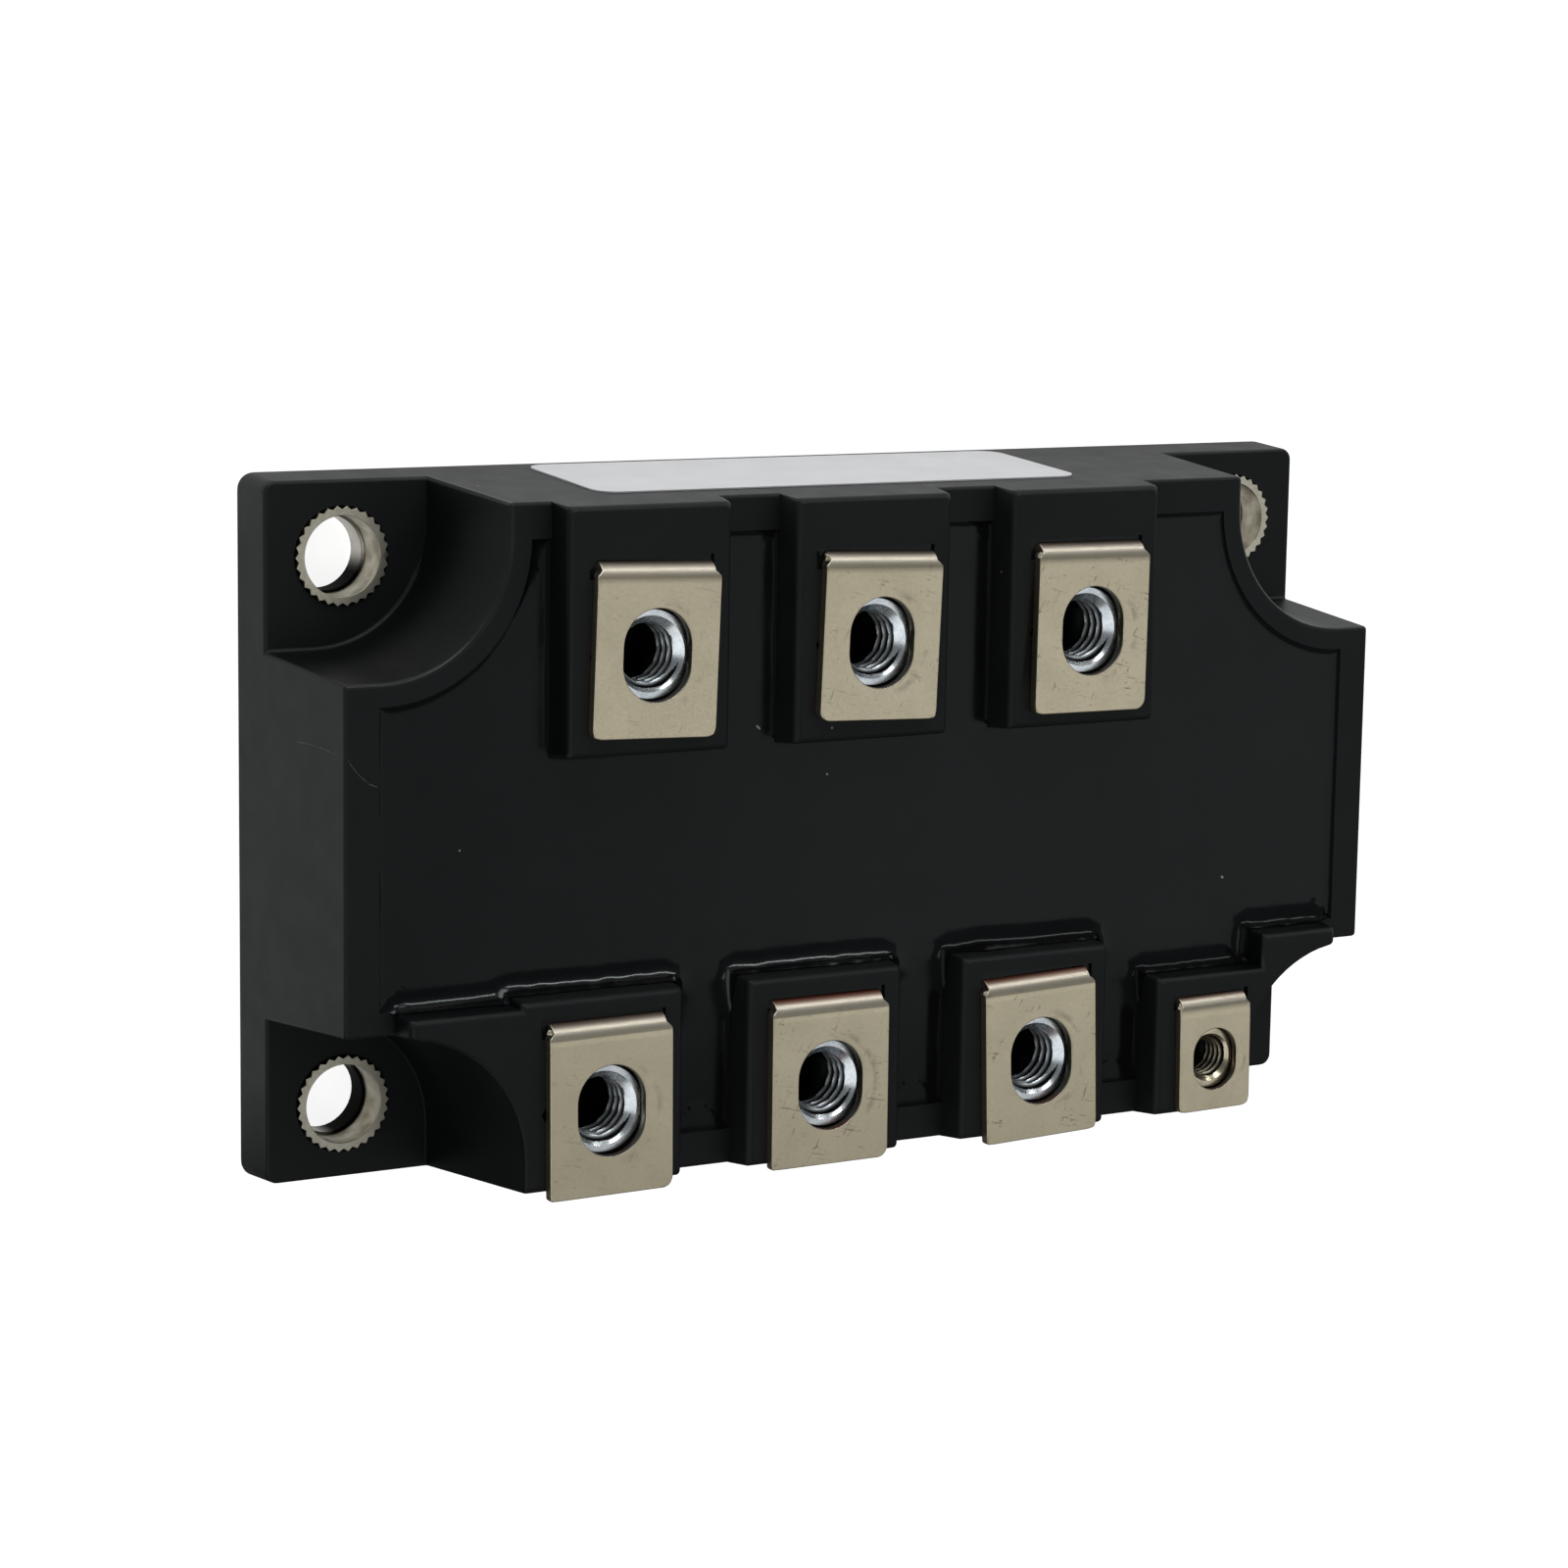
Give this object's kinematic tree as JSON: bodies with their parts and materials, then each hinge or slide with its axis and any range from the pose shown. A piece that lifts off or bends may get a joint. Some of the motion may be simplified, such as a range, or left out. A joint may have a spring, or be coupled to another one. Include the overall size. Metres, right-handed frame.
{
  "type": "bridge rectifier module",
  "caption": "Potted power rectifier module: drafted black case with mounting ears, folded screw terminals over captive nuts, a small gate terminal and a metal base plate.",
  "frame": {"origin": "middle of the base plate's seat face", "axes": "+X along the case, +Y towards the label side, +Z from the seat to the terminals"},
  "size_m": [0.108, 0.062, 0.024],
  "materials": {
    "case": "fine moulded texture",
    "resin": "glossy cast resin",
    "gel": "clear soft gel",
    "label": "satin film",
    "base_plate": "nickel-plated copper, satin",
    "terminal": "tinned copper, satin",
    "sleeve": "nickel-plated, knurled",
    "nut": "zinc-plated",
    "brass": "turned",
    "copper": "bare copper",
    "ceramic": "fired",
    "silicon": "polished"
  },
  "bodies": {
    "root": {"case": "case", "base_plate": "base_plate", "potting": "resin", "gel": "gel", "label": "label", "substrate": "ceramic", "substrate_back": "copper", "tracks": "copper", "thyristor": "silicon", "cathode_strap": "copper", "gate_wire": "copper", "terminal_minus": "terminal", "terminal_plus": "terminal", "terminal_output": "terminal", "terminal_gate": "terminal", "gate_insert": "brass", "terminal_ac_1": "terminal", "terminal_ac_2": "terminal", "terminal_ac_3": "terminal", "sleeve_1": "sleeve", "sleeve_2": "sleeve", "sleeve_3": "sleeve", "sleeve_4": "sleeve", "nut_1": "nut", "diode_1": "silicon", "jumper_1": "copper", "nut_2": "nut", "diode_2": "silicon", "jumper_2": "copper", "nut_3": "nut", "diode_3": "silicon", "jumper_3": "copper", "nut_4": "nut", "diode_4": "silicon", "jumper_4": "copper", "nut_5": "nut", "diode_5": "silicon", "jumper_5": "copper", "nut_6": "nut", "diode_6": "silicon", "jumper_6": "copper"}
  },
  "joints": []
}
